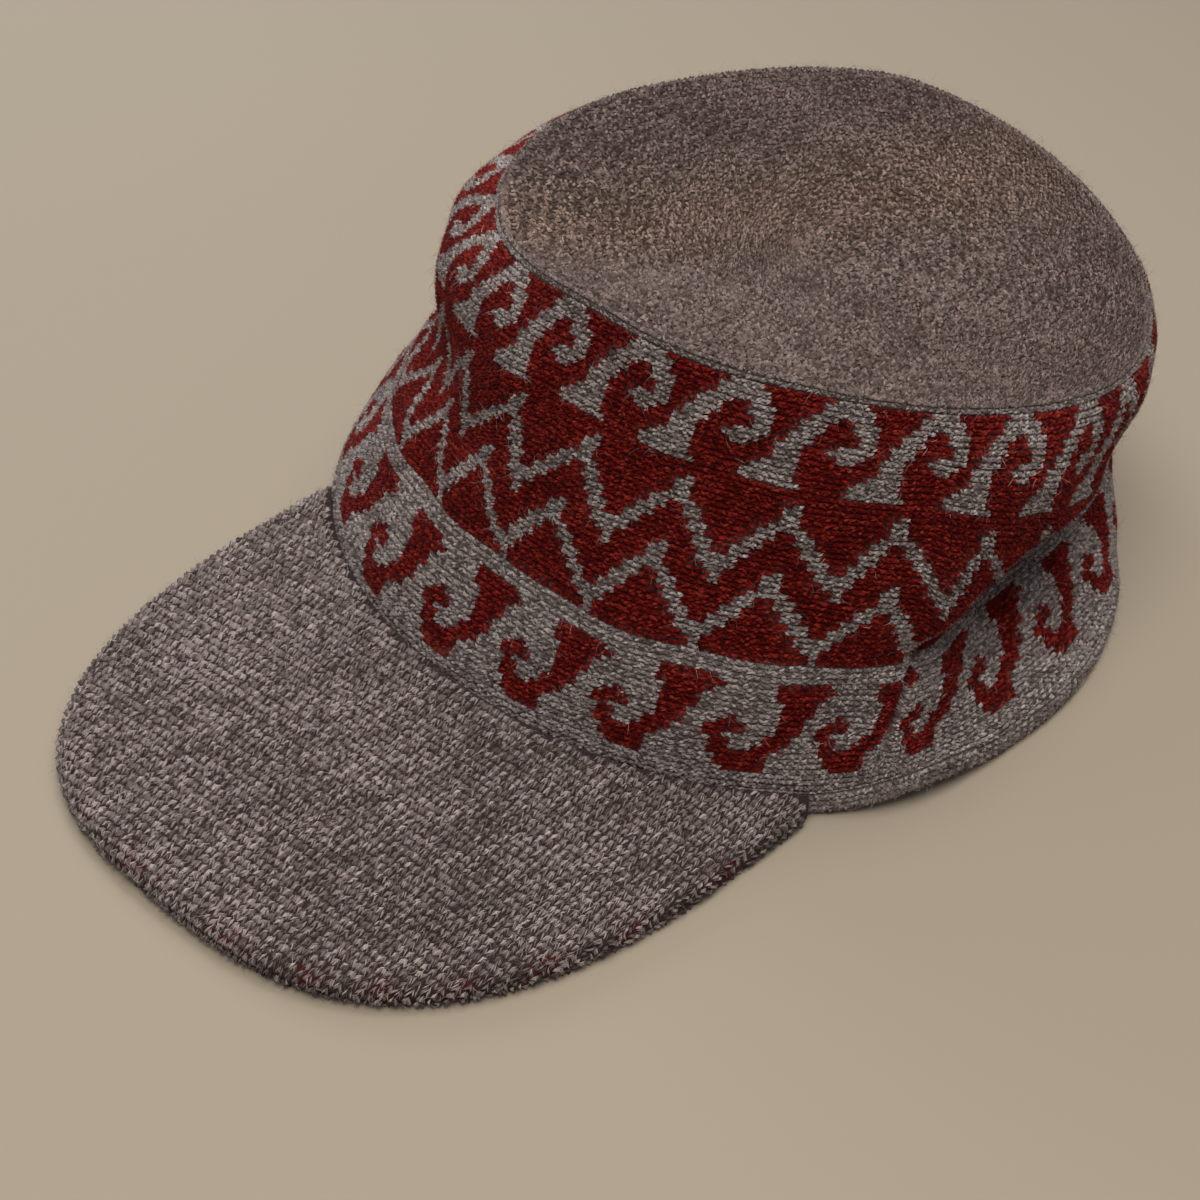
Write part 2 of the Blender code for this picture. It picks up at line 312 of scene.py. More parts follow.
# Colours, linear; of each yarn its base, its light and its dark one
GREY_YARN = np.array(((0.322, 0.264, 0.247), (0.57, 0.49, 0.455), (0.125, 0.089, 0.080)))
# The top's and the visor's yarn are the tube's grey painted darker, as painted shade on the faces that
# look up, which the lamps light more than the walls; the top's is warmer too
SHADED_TOP_YARN = np.array(((0.152, 0.107, 0.092), (0.32, 0.24, 0.21), (0.060, 0.038, 0.032)))
SHADED_VISOR_YARN = np.array(((0.242, 0.192, 0.180), (0.54, 0.452, 0.415), (0.070, 0.048, 0.043)))
RED_YARN = np.array(((0.160, 0.0045, 0.0030), (0.33, 0.028, 0.018), (0.058, 0.0025, 0.0015)))
UNDER_SHADE = 0.55           # colour of the backings, as a share of the yarn's
TOP_UNDER_SHADE = 0.34       # the same under the top
EDGE_SHADE = 0.68            # the plain rows at the top's edge, as a share of the tube's grey
# Painted shade in the holes of the visor's knit, given as the pad's colour
PAD_HOLE_SHADE = np.array((0.034, 0.021, 0.019))
FLECK_COLOUR = np.array((0.060, 0.006, 0.005))
FLECK_EVERY = 3              # columns of the pad from one red fleck at its edge to the next

# How the yarn's colour varies: between strands, in patches, in tint and in lightness; and painted light
# and shade by the leg's side
MIX_SPREAD = 0.65
PATCH_STRENGTH = 0.2
PATCH_WAVES = 5
PATCH_SIZES = (0.6, 0.3)     # size of the first wave, and what each next one adds
PATCH_STARTS = 6.28
PATCH_PEAK = 3.0             # about the most that the waves add up to
PAINTED_LEG_LIGHT = (0.86, 1.08)     # painted shade on left legs and painted light on right legs
TINT_SPREAD = 0.012
LIGHT_SPREAD = 0.09
CORNER_SHADE = 0.8           # of a strand's low corners
CELL_MARGIN = 0.06           # round each strand's cell in the flat map
YARN_SPAN = (1.0, 2.2)       # size of a strand in the yarn's map
YARN_PLACES = 60.0           # over which chance spreads them there

# Painted light and shade on the top beside its valley: a warm strip of painted light on the valley's lit
# side, and painted shade beyond it
VALLEY_LIT_AT = -0.011
VALLEY_LIT_WIDTH = 0.013
VALLEY_LIGHT_TINT = np.array((0.30, 0.22, 0.12))
SHADED_FROM = -0.026
SHADED_BY = 0.14

# Floor and light
FLOOR_REACH = 4.0
FLOOR_COLOUR = (0.395, 0.328, 0.25)
WORLD_COLOUR = (0.90, 0.93, 1.0, 1.0)
WORLD_STRENGTH = 0.23

# Lamps: name, azimuth, elevation, distance, size, power and colour
LAMPS = (
    ("key", 30.0, 66.0, 1.1, 0.6, 7.8, (1.0, 0.97, 0.93)),
    ("overhead", 172.0, 74.0, 1.3, 0.6, 5.4, (1.0, 0.98, 0.95)),
    ("side", 258.0, 32.0, 0.72, 0.4, 1.5, (0.78, 0.90, 1.0)),
)
LAMPS_AIM = Vector((0.0, 0.0, 0.04))

# Camera, at the photograph's viewing angle
CAMERA_PLACE = (0.261668, -0.319993, 0.350924)
CAMERA_AZIMUTH = 39.744
CAMERA_ELEVATION = 40.572
CAMERA_ROLL = 5.405
CAMERA_LENS = 69.68
CAMERA_SENSOR = 36.0
CAMERA_CLIP = (0.01, 20.0)


def table_at(table, column, places, period):
    """One column of a table, read at many places round the cap."""
    rows = np.array(table)
    return np.interp(places, rows[:, 0], rows[:, column], period=period)


def sections_at(azimuths):
    """The sections' columns at many azimuths, blended between neighbouring rows."""
    offsets = np.linspace(-SMOOTHING_SPAN, SMOOTHING_SPAN, SMOOTHING_STEPS)
    weights = 1.0 + np.cos(np.pi * offsets / (SMOOTHING_SPAN * SMOOTHING_FADE))
    near = np.asarray(azimuths, float)[:, None] + offsets
    cut = {}
    for place, name in enumerate(SECTION_COLUMNS[1:], start=1):
        values = table_at(SECTIONS, place, near.ravel(), 360.0)
        cut[name] = np.average(values.reshape(near.shape), axis=1, weights=weights)
    return cut


def wrapped(angle):
    """The same angle, between -180 and 180 degrees."""
    return (angle + 180.0) % 360.0 - 180.0


def rim_lift(azimuths):
    """How far the hem is off the table."""
    away = wrapped(np.asarray(azimuths, float) - LIFT_AT)
    lift = LIFT_HEIGHT * 0.5 * (1.0 + np.cos(np.pi * away / LIFT_SPAN))
    return np.where(np.abs(away) < LIFT_SPAN, lift, 0.0)


def rim_radius(azimuths):
    return sections_at(azimuths)["rim"] * BASE_RADIUS


def top_edge(azimuths):
    """Radius and height of the top's edge."""
    cut = sections_at(azimuths)
    return cut["top"] * TOP_RADIUS, cut["top_up"] * CROWN_HEIGHT


def foot_row(azimuths):
    """The tube's lowest row."""
    return table_at(FOOT_ROWS, 1, azimuths, 360.0)


def turned(azimuths, radii, heights):
    """Points of the half-planes at these azimuths; 0 is over the visor."""
    angle = np.radians(azimuths)
    return np.stack((radii * np.sin(angle), -radii * np.cos(angle), heights), axis=-1)


def unit(vectors):
    """The same vectors, one long."""
    length = np.linalg.norm(vectors, axis=-1, keepdims=True)
    return vectors / np.maximum(length, TINY)


def find_middle():
    """Shift from the tube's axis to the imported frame, from the hem's box."""
    azimuths = np.arange(SOLID_COLUMNS) * 360.0 / SOLID_COLUMNS
    rim = turned(azimuths, rim_radius(azimuths) + HEM_PROUD, 0.0 * azimuths)
    low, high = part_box("band_hem")
    middle = (rim.min(axis=0) + rim.max(axis=0)) / 2
    return np.array(((low.x + high.x) / 2 - middle[0], (low.y + high.y) / 2 - middle[1], 0.0))


MIDDLE = find_middle()
DRAWS = np.random.default_rng(41)


def azimuths_of(points):
    """Azimuths round the tube's axis."""
    return np.degrees(np.arctan2(points[:, 0] - MIDDLE[0], MIDDLE[1] - points[:, 1]))


class Sheet:
    """A ring of knit held as a grid of points, read at any place between them."""

    def __init__(self, points, first_row):
        self.points = points + MIDDLE
        self.first_row = first_row
        around = np.roll(self.points, -1, axis=0) - np.roll(self.points, 1, axis=0)
        self.normals = unit(np.cross(around, np.gradient(self.points, axis=1)))

    def at(self, wales, rows):
        """Positions and normals at stitch coordinates."""
        columns, steps = self.points.shape[:2]
        across = wales / KNIT_STEP
        up = np.clip((rows - self.first_row) / KNIT_STEP, 0.0, steps - INSIDE)
        i, j = np.floor(across).astype(int), np.floor(up).astype(int)
        s, t = (across - i)[..., None], (up - j)[..., None]
        near, far = i % columns, (i + 1) % columns
        found = []
        for grid in (self.points, self.normals):
            low = grid[near, j] * (1 - s) + grid[far, j] * s
            high = grid[near, j + 1] * (1 - s) + grid[far, j + 1] * s
            found.append(low * (1 - t) + high * t)
        return found


def curve_through(knots, values, level):
    """The smooth curve with these values at the knots, at another level."""
    total = 0.0
    for knot, value in zip(knots, values):
        others = [other for other in knots if other != knot]
        total = total + value * math.prod((level - o) / (knot - o) for o in others)
    return total


def smooth_along(values, amount):
    """Round off the corners of each profile, keeping its two ends."""
    for _ in range(amount):
        inner = 0.25 * values[:, :-2] + 0.5 * values[:, 1:-1] + 0.25 * values[:, 2:]
        values = np.concatenate((values[:, :1], inner, values[:, -1:]), axis=1)
    return values


def tube_profiles(azimuths):
    """Outer profile of the tube at each azimuth, and the places of its named points."""
    cut = sections_at(azimuths)
    foot = HEM_HEIGHT + GAP + rim_lift(azimuths)
    rim, band = cut["rim"] * BASE_RADIUS, cut["band"] * BASE_RADIUS
    band_top = cut["band_up"] * BAND_HEIGHT
    top, top_height = cut["top"] * TOP_RADIUS, cut["top_up"] * CROWN_HEIGHT
    lip = cut["lip"] * BASE_RADIUS
    lip_height = band_top + cut["lip_up"] * (top_height - band_top)
    crease = band + CREASE_LEVEL * (lip - band) - cut["tuck"] * TUCK_DEPTH
    crease_height = band_top + CREASE_LEVEL * (lip_height - band_top)
    line = []
    for step in range(BAND_STEPS + 1):
        share = step / BAND_STEPS
        swell = BAND_BELLY * 4 * share * (1 - share)
        line.append((rim + share * (band - rim) + swell, foot + share * (band_top - foot)))
    keys = {"stripe": len(line) - 1, "lip": len(line) + 1}
    line += [(crease, crease_height), (lip, lip_height)]
    edge_height = top_height - EDGE_ROUND
    radii = (lip, cut["belly"] * BASE_RADIUS, cut["shoulder"] * TOP_RADIUS, top)
    for level in WALL_LEVELS:
        radius = curve_through((0.0, BELLY_LEVEL, SHOULDER_LEVEL, 1.0), radii, level)
        line.append((radius, lip_height + level * (edge_height - lip_height)))
    keys["top"] = len(line)
    bevel = EDGE_ROUND * EDGE_BEVEL
    line += [(top, edge_height), (top - bevel, top_height - bevel), (top - EDGE_ROUND, top_height),
             (top - SEAT_WIDTH - GAP, top_height - SEAT_DROP)]
    return np.array(line).transpose(2, 0, 1), keys


def unevenness(wales, row):
    """How far the worn cloth stands out or in, calm at the hem and the top's edge."""
    calm = math.sin(math.pi * (row - FOOT_ROW) / (TOP_ROW + EDGE_ROWS - FOOT_ROW)) ** 0.5
    total = 0.0
    for height, around, up, start in RIPPLES:
        turns = around * wales / WALES + up * row / TOP_ROW
        total = total + height * np.sin(2 * math.pi * turns + start)
    for wale, low, high, width, depth, swell in CREASES:
        share = min(max((row - low) / (high - low), 0.0), 1.0)
        inward = depth * np.exp(-((wales - wale) / width) ** 2)
        outward = swell * np.exp(-((wales - wale) / width / SWELL_WIDTH + 1.0) ** 2)
        total = total + math.sin(math.pi * share) * (outward - inward)
    return total * calm


def slip(wales, row):
    """Wales of slip from even spacing, by the height of the row."""
    at_heights = [table_at(SLIPS, place, wales, WALES) for place in range(1, len(SLIP_COLUMNS))]
    level = np.interp(row, SLIP_ROWS, np.arange(len(SLIP_ROWS)))
    low = min(int(level), len(SLIP_ROWS) - 2)
    return at_heights[low] * (low + 1 - level) + at_heights[low + 1] * (level - low)


def even_turns(wales, start, radii):
    """Azimuths of the wales, evenly spaced along a ring with these radii."""
    ring = turned(TURNS, radii, 0.0 * TURNS)
    steps = np.linalg.norm(np.roll(ring, -1, axis=0) - ring, axis=1)
    run = np.concatenate(([0.0], np.cumsum(steps)))
    turns = np.append(TURNS, 360.0)
    begin = np.interp(start % 360.0, turns, run)
    place = (begin + wales / WALES * run[-1]) % run[-1]
    return np.interp(place, run, turns)


def make_tube_sheet():
    """The tube in stitch coordinates: wale round the cap and row up it."""
    profiles, keys = tube_profiles(TURNS)
    hidden = np.interp(TURNS, *np.transpose(HIDDEN_ROWS), left=0.0, right=0.0)
    lines, row_at = [], []
    for line, last_hidden, foot in zip(profiles, hidden, foot_row(TURNS)):
        steps = np.linalg.norm(np.diff(line, axis=0), axis=1)
        run = np.concatenate(([0.0], np.cumsum(steps)))
        places = np.linspace(0.0, run[-1], PROFILE_POINTS)
        lines.append(np.stack([np.interp(places, run, line[:, k]) for k in (0, 1)], axis=1))
        stripe, lip, top = (run[keys[name]] for name in ("stripe", "lip", "top"))
        even = STRIPE_ROW + (TOP_ROW - STRIPE_ROW) * (lip - stripe) / (top - stripe)
        rows = (foot, STRIPE_ROW, max(even, last_hidden), TOP_ROW, TOP_ROW + EDGE_ROWS)
        row_at.append(np.interp(places, (0.0, stripe, lip, top, run[-1]), rows))
    lines = smooth_along(np.array(lines), PROFILE_SMOOTHING)
    row_at = smooth_along(np.array(row_at)[..., None], PROFILE_SMOOTHING)[..., 0]

    rows = np.arange(FOOT_ROW, TOP_ROW + EDGE_ROWS, KNIT_STEP)
    wales = np.arange(0.0, WALES, KNIT_STEP)
    grid = np.array([[np.interp(rows, at, line[:, k]) for k in (0, 1)]
                     for at, line in zip(row_at, lines)])
    rim, edge = rim_radius(TURNS), top_edge(TURNS)[0]
    points = []
    for j, row in enumerate(rows):
        moved = wales + slip(wales, row)
        base, upper = even_turns(moved, BASE_TURN, rim), even_turns(moved, TOP_TURN, edge)
        azimuth = base + (row - FOOT_ROW) / (TOP_ROW - FOOT_ROW) * wrapped(upper - base)
        radius = np.interp(azimuth, TURNS, grid[:, 0, j], period=360.0) + unevenness(wales, row)
        height = np.interp(azimuth, TURNS, grid[:, 1, j], period=360.0)
        points.append(turned(azimuth, radius, height))
    return Sheet(np.array(points).transpose(1, 0, 2), FOOT_ROW)


def make_hem_sheet():
    """Rolled outer face of the knitted edging, from under its foot to its top."""
    wales = np.arange(0.0, WALES, KNIT_STEP)
    rim = rim_radius(TURNS)
    azimuth = even_turns(wales + slip(wales, 0.0), BASE_TURN, rim)
    radius = np.interp(azimuth, TURNS, rim + HEM_PROUD, period=360.0)
    foot = np.interp(azimuth, TURNS, rim_lift(TURNS), period=360.0)
    points = []
    for level in np.linspace(-1.0, 1.0, 2 * HEM_ROWS + 1):
        roll = HEM_ROLL if level < 0 else HEM_TOP_ROLL
        inward = roll * (1.0 - math.sqrt(max(0.0, 1.0 - abs(level) ** HEM_POWER)))
        points.append(turned(azimuth, radius - inward, foot + HEM_HEIGHT / 2 * (1.0 + level)))
    return Sheet(np.array(points).transpose(1, 0, 2), 0.0)


def off_valley(points):
    """How far points lie to the wearer's left of the valley's middle line."""
    way = math.radians(VALLEY_HEADING)
    return points[..., 0] * math.cos(way) - points[..., 1] * math.sin(way) - VALLEY_OFFSET


def disc_height(share, azimuths):
    """Height of the top's upper face at a share of its radius."""
    radius, edge_height = top_edge(azimuths)
    middle = top_edge(EDGE_PLACES)[1].mean() - TOP_SAG
    height = middle + (edge_height - middle) * share ** DISH_POWER
    flat = turned(azimuths, share * radius, 0.0 * radius)
    fade = 1.0 - share ** VALLEY_POWER
    return height - VALLEY_DEPTH * fade * np.exp(-(off_valley(flat) / VALLEY_WIDTH) ** 2)


def make_disc_sheet():
    """The top in stitch coordinates: wale round it and row in from its edge."""
    wales = np.arange(0.0, WALES, KNIT_STEP)
    azimuth = even_turns(wales, TOP_TURN, top_edge(TURNS)[0])
    radius = top_edge(azimuth)[0] - DISC_INSET
    points = []
    for row in np.arange(0.0, DISC_ROWS + KNIT_STEP, KNIT_STEP):
        share = 1.0 - row / DISC_ROWS
        flat = turned(azimuth, share * radius, 0.0 * azimuth)
        flat += turned(DISC_DRIFT_TOWARDS, DISC_DRIFT * share * (1.0 - share), 0.0)
        out = np.hypot(flat[:, 0], flat[:, 1])
        around = np.degrees(np.arctan2(flat[:, 0], -flat[:, 1]))
        share_there = np.minimum(out / (top_edge(around)[0] - DISC_INSET), 1.0)
        flat[:, 2] = disc_height(share_there, around)
        points.append(flat)
    return Sheet(np.array(points).transpose(1, 0, 2), 0.0)


def visor_lines():
    """Root and outer edge of the visor in plan, for shares across it."""
    across = np.linspace(-1.0, 1.0, VISOR_COLUMNS)
    azimuths = across * VISOR_SPREAD
    root = turned(azimuths, rim_radius(azimuths) + HEM_PROUD + GAP, 0.0 * across)[:, :2]
    ends = np.array((-VISOR_SPREAD, VISOR_SPREAD))
    corners = turned(ends, rim_radius(ends) + HEM_PROUD + GAP + VISOR_CORNER, 0.0 * ends)[:, :2]
    angle = across * math.pi / 2
    bend = 2.0 / VISOR_SQUARENESS
    side = np.sign(across) * np.abs(np.sin(angle)) ** bend
    forward = VISOR_LENGTH * np.abs(np.cos(angle)) ** bend
    edge = (corners[0] + corners[1]) / 2 + np.outer(side, (corners[1] - corners[0]) / 2)
    edge = edge + np.stack((VISOR_SIDE_SHIFT * np.cos(angle), -forward), axis=1)
    return across, root, edge


def visor_faces(roll_turn, inset=0.0):
    """Upper and lower face from the root round the rolled edge by roll_turn degrees.

    Each is a grid of points, with a flat copy that has the same lengths.
    """
    across, root, edge = visor_lines()
    reach = np.linalg.norm(edge - root, axis=1)
    roll = np.minimum(VISOR_ROLL, reach * 0.5)
    quarter = VISOR_THICKNESS / 2
    thick = quarter - inset
    upper, lower, flat = [], [], []
    flat_run = np.zeros(len(across))
    for step in range(VISOR_STEPS + ROLL_STEPS + 1):
        if step <= VISOR_STEPS:
            along, half = (reach - roll) * step / VISOR_STEPS, thick
        else:
            turn = (step - VISOR_STEPS) / ROLL_STEPS * math.radians(roll_turn)
            along, half = reach - roll + (roll - inset) * math.sin(turn), thick * math.cos(turn)
        share = along / np.maximum(reach, TINY)
        arch = VISOR_CAMBER * np.cos(math.pi / 2 * across) * (1.0 - share ** 2)
        centre = quarter + VISOR_ROOT_RISE * (1.0 - share) + arch
        plan = root + (edge - root) * share[:, None]
        upper.append(np.column_stack((plan, centre + half)))
        lower.append(np.column_stack((plan, centre - half)))
        if step > 0:
            flat_run = flat_run + np.linalg.norm(upper[-1] - upper[-2], axis=1)
        flat.append(root + (edge - root) / np.maximum(reach, TINY)[:, None] * flat_run[:, None])
    return [np.array(x).transpose(1, 0, 2) for x in (upper, lower, flat)]


class LaidFlat:
    """A formed face of the visor, read in wales and rows of its flat knit."""

    def __init__(self, flat, formed, up):
        columns, rows = flat.shape[:2]
        self.middle = (flat.reshape(-1, 2).min(axis=0) + flat.reshape(-1, 2).max(axis=0)) / 2
        turn = math.radians(VISOR_KNIT_TURN)
        self.across = np.array((math.cos(turn), math.sin(turn))) * VISOR_WALE
        self.along = np.array((-math.sin(turn), math.cos(turn))) * VISOR_ROW
        self.flat = [Vector((*p, 0.0)) for p in flat.reshape(-1, 2)]
        self.formed = [Vector(p) for p in formed.reshape(-1, 3)]
        normals = unit(np.cross(np.gradient(formed, axis=0), np.gradient(formed, axis=1)))
        if normals[..., 2].mean() * up < 0:
            normals = -normals
        self.normals = [Vector(n) for n in normals.reshape(-1, 3)]
        quads = grid_faces(columns, rows, False)
        self.corners = quads[:, ((0, 1, 2), (0, 2, 3))].reshape(-1, 3).tolist()
        self.tree = BVHTree.FromPolygons(self.flat, self.corners, all_triangles=True)

    def place(self, x, y):
        """Position and normal for one flat place, or None off the piece."""
        hit, _, face, _ = self.tree.ray_cast(Vector((x, y, 1.0)), Vector((0.0, 0.0, -1.0)))
        if hit is None:
            return None
        corners = self.corners[face]
        flat, formed, normals = ([list_of[c] for c in corners]
                                 for list_of in (self.flat, self.formed, self.normals))
        spot = barycentric_transform(hit, *flat, *formed)
        return spot, barycentric_transform(hit, *flat, *normals).normalized()

    def at(self, wales, rows):
        """Positions and normals at stitch coordinates; nan off the piece."""
        spots, outs = np.full((*wales.shape, 3), np.nan), np.full((*wales.shape, 3), np.nan)
        for k in np.ndindex(wales.shape):
            found = self.place(*(self.middle + wales[k] * self.across + rows[k] * self.along))
            if found is not None:
                spots[k], outs[k] = found
        return spots, outs


Laid = namedtuple("Laid", "spots outs cells lefts")


def stitch_places(wales, rows):
    """All pairs of these wales and rows."""
    return (g.ravel().astype(float) for g in np.meshgrid(wales, rows, indexing="ij"))


def make_strands(kind):
    """Corners of a right leg's strands, in wales and rows from the stitch's foot."""
    foot, head, pitch = np.array(kind.foot), np.array(kind.head), np.array(kind.pitch)
    way = (head - foot) * pitch
    across = np.array((-way[1], way[0])) / np.linalg.norm(way) / pitch
    strands = []
    for number in range(kind.count):
        shift = (number - (kind.count - 1) / 2) * kind.apart
        corners = []
        for share, side, depth in STRAND_CORNERS:
            bend = np.array((kind.bow * math.sin(math.pi * share), 0.0))
            spot = foot + share * (head - foot) + bend + across * (shift + side * kind.half)
            corners.append((*spot, depth))
        strands.append(corners)
    return np.array(strands)


def lay_strands(surface, wales, rows, kind, squeeze=1.0, numbers=None):
    """Lay one kind of stitch on a surface at these wales and rows, left legs first.

    Gives the corners' positions and normals, each strand's cell in the flat
    knit, and whether it belongs to a left leg.
    """
    numbers = wales - wales.min() if numbers is None else numbers
    strands = make_strands(kind)
    legs = []
    for leg, side in enumerate((-1.0, 1.0)):
        for number, strand in enumerate(strands):
            aside, lean, lift, slope = DRAWS.normal(0.0, kind.stray, (4, len(wales), 1))
            x, y = strand[None, :, 0], strand[None, :, 1]
            u = side * x + STRAY_ASIDE * aside + STRAY_LEAN * lean * (y - LEANS_ABOUT)
            v = y + STRAY_UP * lift + STRAY_SLOPE * slope * (x - SLOPES_ABOUT)
            spot, out = surface.at(wales[:, None] + 0.5 + u * squeeze, rows[:, None] + v)
            column = numbers * 2 * len(strands) + leg * len(strands) + number
            cell = np.column_stack((column, rows - rows.min()))
            legs.append((spot, out, cell, np.full(len(wales), side < 0)))
    laid = [np.concatenate(x) for x in zip(*legs)]
    whole = ~np.isnan(laid[0]).any(axis=(1, 2))
    return Laid(*(x[whole] for x in laid))


def charted(wale, row):
    """True where the chart has the red yarn."""
    wale, row = int(wale) % REPEAT, int(row)
    for chart, start in ((HOOKS, HOOKS_FROM), (WAVES, WAVES_FROM)):
        if start <= row < start + len(chart):
            return chart[len(chart) - 1 - (row - start)][wale] == "#"
    if row <= STRIPE_ROW - 1 or row >= TOP_ROW:
        return False
    for start in ZIGZAGS_FROM:
        if start <= row < start + len(ZIGZAG):
            if ZIGZAG[len(ZIGZAG) - 1 - (row - start)][wale] == ".":
                return False
    return True


def slow_patches(points, size):
    """Gentle unevenness over the cloth, as a sum of crossing waves."""
    total = np.zeros(len(points))
    for wave in range(PATCH_WAVES):
        way = DRAWS.normal(0.0, 1.0, 3)
        way = way / np.linalg.norm(way)
        length = size * (PATCH_SIZES[0] + PATCH_SIZES[1] * wave)
        total += np.sin(points @ way * (2 * math.pi / length) + DRAWS.random() * PATCH_STARTS)
    return total * PATCH_STRENGTH / PATCH_PEAK


def heathered_and_leg_lit(yarn, laid, patch, red=None):
    """Yarn colours that vary strand by strand and in slow patches, with painted light and shade by the
    leg's side.
    """
    count = len(laid.spots)
    mix = DRAWS.normal(0.0, 1.0, count) * MIX_SPREAD + slow_patches(laid.spots[:, 0], patch)
    up, down = np.clip(mix, 0.0, 1.0)[:, None], np.clip(-mix, 0.0, 1.0)[:, None]
    blends = [base * (1 - up - down) + light * up + dark * down
              for base, light, dark in (yarn, RED_YARN)]
    colour = blends[0] if red is None else np.where(red[:, None], blends[1], blends[0])
    # Painted light and shade by the leg's side: left legs darker, right legs lighter
    colour = colour * np.where(laid.lefts, *PAINTED_LEG_LIGHT)[:, None]
    tint = 1.0 + TINT_SPREAD * DRAWS.normal(0.0, 1.0, (count, 3))
    return colour * tint * (1.0 + LIGHT_SPREAD * DRAWS.normal(0.0, 1.0, (count, 1)))


def new_material(name, roughness, specular):
    material = bpy.data.materials.new(name)
    material.use_nodes = True
    shader = material.node_tree.nodes["Principled BSDF"]
    shader.inputs["Roughness"].default_value = roughness
    shader.inputs["Specular IOR Level"].default_value = specular
    return material, shader


def new_node(material, kind, **inputs):
    node = material.node_tree.nodes.new(f"ShaderNode{kind}")
    for title, value in inputs.items():
        node.inputs[title.replace("_", " ")].default_value = value
    return node


def yarn_colour(material):
    """The colour that each mesh holds for its yarn."""
    node = new_node(material, "Attribute")
    node.attribute_name = "yarn"
    return node.outputs["Color"]


def wool(name, fibre_bump, sheen):
    """Wool yarn: the strand's own colour broken up by fine fibres."""
    material, shader = new_material(name, 0.95, 0.1)
    shader.inputs["Sheen Weight"].default_value = sheen
    shader.inputs["Sheen Roughness"].default_value = 0.6
    shader.inputs["Sheen Tint"].default_value = (0.9, 0.85, 0.82, 1.0)
    yarn = new_node(material, "UVMap")
    yarn.uv_map = "Yarn"
    twist = new_node(material, "Mapping", Rotation=(0.0, 0.0, math.radians(24)), Scale=(9.0, 2.2, 1.0))
    fibres = new_node(material, "TexNoise", Scale=1.0, Detail=3.0, Roughness=0.65)
    shades = new_node(material, "MapRange", From_Min=0.3, From_Max=0.7, To_Min=0.55, To_Max=1.5)
    bump = new_node(material, "Bump", Strength=fibre_bump, Distance=0.0003)
    tint = new_node(material, "Mix")
    tint.data_type = "RGBA"
    tint.blend_type = "MULTIPLY"
    tint.inputs["Factor"].default_value = 1.0
    links = material.node_tree.links
    links.new(yarn.outputs["UV"], twist.inputs["Vector"])
    links.new(twist.outputs["Vector"], fibres.inputs["Vector"])
    links.new(fibres.outputs["Fac"], shades.inputs["Value"])
    links.new(fibres.outputs["Fac"], bump.inputs["Height"])
    links.new(yarn_colour(material), tint.inputs["A"])
    links.new(shades.outputs["Result"], tint.inputs["B"])
    links.new(tint.outputs["Result"], shader.inputs["Base Color"])
    links.new(bump.outputs["Normal"], shader.inputs["Normal"])
    return material


def fibre_material(name):
    material, shader = new_material(name, 0.8, 0.2)
    material.node_tree.links.new(yarn_colour(material), shader.inputs["Base Color"])
    return material


YARN_WOOL = wool("yarn_wool", 0.6, 0.03)
BACKING_WOOL = wool("backing_wool", 0.3, 0.04)
FIBRE_WOOL = fibre_material("fibre_wool")


def above_floor(points):
    """The same points, with any below the floor pressed up onto it."""
    points = points.copy()
    points[..., 2] = np.maximum(points[..., 2], 0.0)
    return points


def add_piece(name, material, points, corners, sizes, colours, maps=()):
    """A mesh from arrays: colours by point, maps as named lists of places by point."""
    mesh = bpy.data.meshes.new(name)
    mesh.vertices.add(len(points))
    mesh.vertices.foreach_set("co", np.asarray(points, np.float32).ravel())
    mesh.loops.add(len(corners))
    mesh.loops.foreach_set("vertex_index", corners.astype(np.int32))
    mesh.polygons.add(len(sizes))
    starts = np.concatenate(([0], np.cumsum(sizes)[:-1])).astype(np.int32)
    mesh.polygons.foreach_set("loop_start", starts)
    mesh.polygons.foreach_set("loop_total", sizes.astype(np.int32))
    mesh.update(calc_edges=True)
    mesh.validate()
    layer = mesh.attributes.new("yarn", "FLOAT_COLOR", "POINT")
    layer.data.foreach_set("color", np.column_stack((colours, np.ones(len(colours)))).ravel())
    for title, places in maps:
        layer = mesh.uv_layers.new(name=title)
        layer.data.foreach_set("uv", places[corners].astype(np.float32).ravel())
    mesh.shade_smooth()
    mesh.materials.append(material)
    item = bpy.data.objects.new(name, mesh)
    bpy.context.scene.collection.objects.link(item)
    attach(item, "root")
    return item


def stitches(name, laid, colours, depth, inward=False):
    """The laid strands as one mesh; depth is how far their middles stand out."""
    strands, size = laid.spots.shape[:2]
    corners = np.array(STRAND_CORNERS)
    heights = depth * (1.0 + STRAY_DEPTH * DRAWS.normal(0.0, 1.0, (strands, 1, 1)))
    points = above_floor(laid.spots + laid.outs * corners[None, :, 2:3] * heights)
    faces = np.array(STRAND_FACES)
    mirrored = laid.lefts != inward
    loops = np.where(mirrored[:, None], faces[:, ::-1].ravel(), faces.ravel())
    loops = (loops + (np.arange(strands) * size)[:, None]).ravel()
    shade = np.where(corners[:, 2] > 0, 1.0, CORNER_SHADE)
    colour = np.repeat(colours, size, axis=0) * np.tile(shade, strands)[:, None]
    shares = np.column_stack((0.5 - corners[:, 1] / 2, corners[:, 0]))[None]
    in_cell = laid.cells[:, None] + CELL_MARGIN + (1.0 - 2 * CELL_MARGIN) * shares
    bake = in_cell / (laid.cells.max(axis=0) + 1)
    yarn = shares * YARN_SPAN + DRAWS.random((strands, 1, 2)) * YARN_PLACES
    maps = (("OFBake", bake.reshape(-1, 2)), ("Yarn", yarn.reshape(-1, 2)))
    return add_piece(name, YARN_WOOL, points.reshape(-1, 3), loops,
                     np.full(len(loops) // 3, 3), colour, maps)


